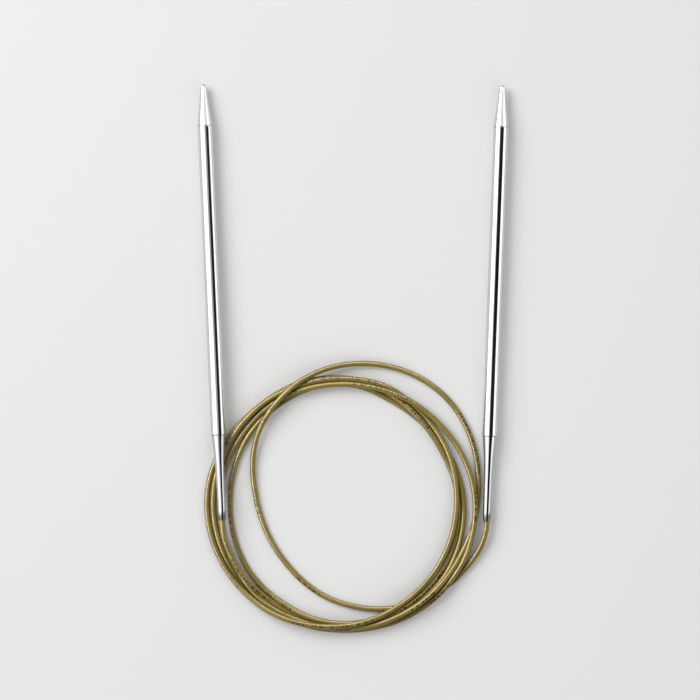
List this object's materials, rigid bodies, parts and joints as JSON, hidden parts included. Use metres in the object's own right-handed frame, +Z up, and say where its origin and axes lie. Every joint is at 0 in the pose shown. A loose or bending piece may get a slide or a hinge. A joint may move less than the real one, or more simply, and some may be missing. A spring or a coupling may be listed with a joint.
{
  "type": "circular knitting needle",
  "caption": "Circular knitting needle: plated straight needles with tapered points and necks, joined by one long nylon cord that lies wound in a loose coil.",
  "frame": {"origin": "on the table, under the middle of the two needles' common box", "axes": "+Z up from the table, +Y along the needles towards their points, +X to the right of someone who looks towards the points"},
  "size_m": [0.0922, 0.163, 0.0062],
  "materials": {
    "plated_shaft": "polished nickel plate",
    "plated_point": "polished nickel plate",
    "plated_neck": "polished nickel plate",
    "stop_brass": "plain crimped brass",
    "cord_nylon": "semi-gloss olive-gold nylon"
  },
  "bodies": {
    "coil": {"cord_coil": "cord_nylon", "left_cord_run": "cord_nylon", "right_cord_run": "cord_nylon"},
    "left_lead": {"left_cord_lead": "cord_nylon"},
    "left_needle": {"left_shaft_tube": "plated_shaft", "left_point": "plated_point", "left_neck": "plated_neck", "left_cord_stop": "stop_brass", "left_cord_end": "cord_nylon"},
    "right_lead": {"right_cord_lead": "cord_nylon"},
    "right_needle": {"right_shaft_tube": "plated_shaft", "right_point": "plated_point", "right_neck": "plated_neck", "right_cord_stop": "stop_brass", "right_cord_end": "cord_nylon"}
  },
  "joints": [
    {"name": "left_swing", "type": "hinge", "parent": "coil", "child": "left_lead", "pos_m": [-0.0354, -0.0767, 0.0041], "axis": [0, 0, 1], "range_deg": [0, 45]},
    {"name": "left_lift", "type": "hinge", "parent": "left_lead", "child": "left_needle", "pos_m": [-0.03864, -0.0674, 0.00446], "axis": [0.999, 0.0436, 0], "range_deg": [0, 75]},
    {"name": "right_swing", "type": "hinge", "parent": "coil", "child": "right_lead", "pos_m": [0.0356, -0.0762, 0.0012], "axis": [0, 0, -1], "range_deg": [0, 45]},
    {"name": "right_lift", "type": "hinge", "parent": "right_lead", "child": "right_needle", "pos_m": [0.03947, -0.0678, 0.00225], "axis": [0.9993, -0.0366, 0], "range_deg": [0, 75]}
  ]
}
